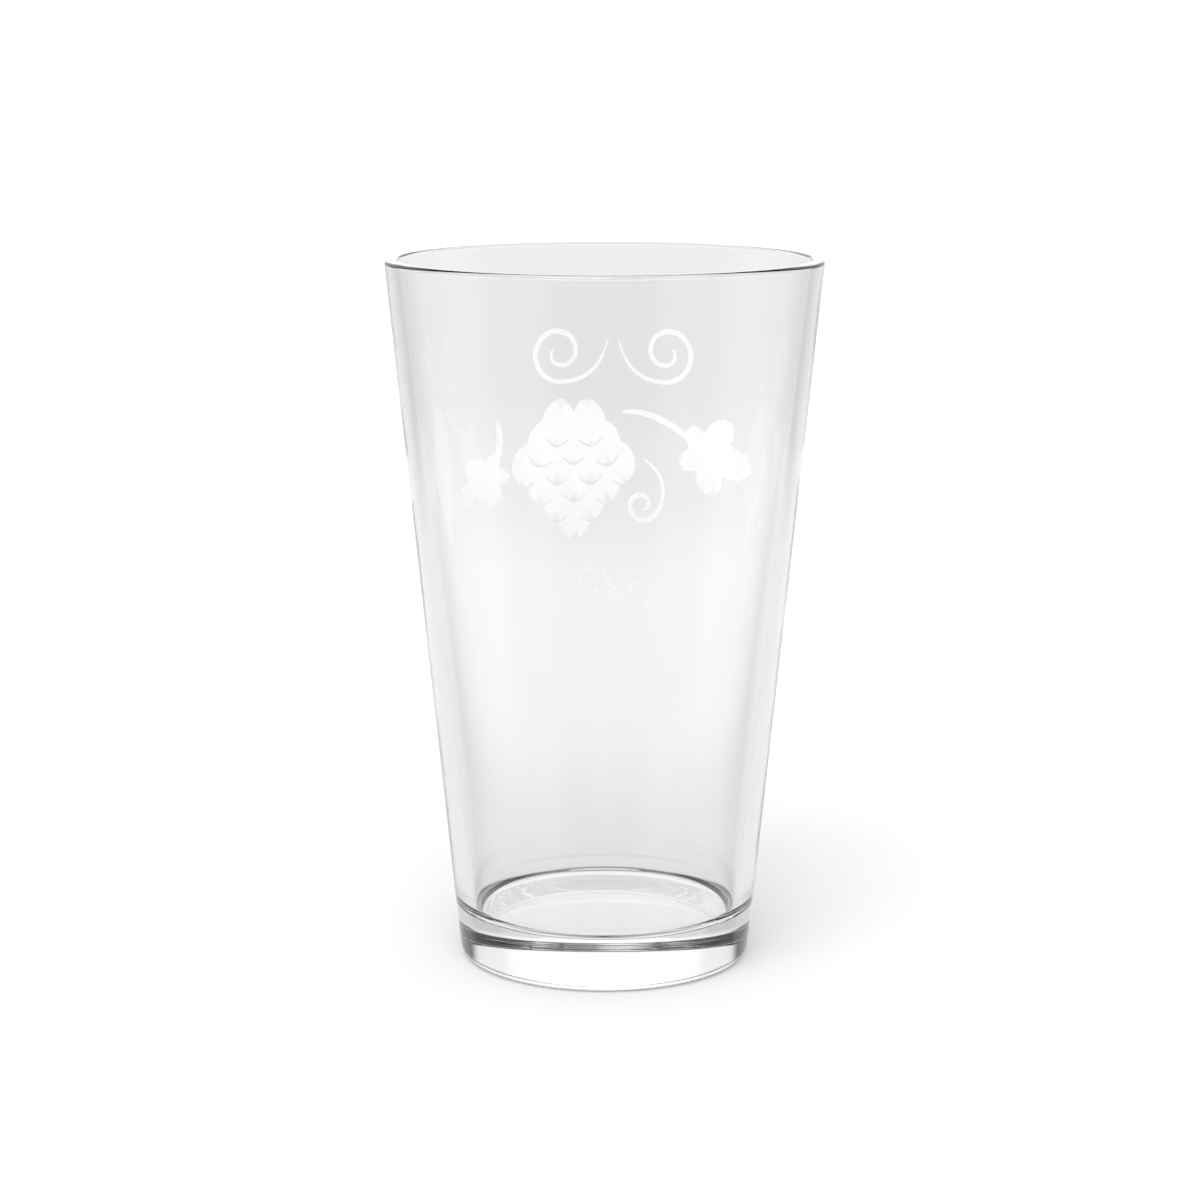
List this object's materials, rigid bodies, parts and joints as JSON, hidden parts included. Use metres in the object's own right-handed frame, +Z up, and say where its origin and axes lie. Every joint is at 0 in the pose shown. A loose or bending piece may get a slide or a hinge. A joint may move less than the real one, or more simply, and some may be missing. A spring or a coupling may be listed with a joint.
{
  "type": "pint glass",
  "caption": "Clear tapered pint glass with a thick heavy base, a rounded rim and a white hop emblem printed on the outside of one wall.",
  "frame": {"origin": "centre of the circle that the glass stands on, at table height", "axes": "+Z up along the axis of the glass, -Y towards the viewer, +Y out through the printed wall, +X to the viewer's right"},
  "size_m": [0.0888, 0.0888, 0.1455],
  "materials": {
    "clear_glass": "polished",
    "white_ink": "satin"
  },
  "bodies": {
    "root": {"tumbler": "clear_glass", "hop_cone": "white_ink", "leaf_left": "white_ink", "leaf_right": "white_ink", "tendril": "white_ink", "scroll_left": "white_ink", "scroll_right": "white_ink", "scroll_low": "white_ink"}
  },
  "joints": []
}
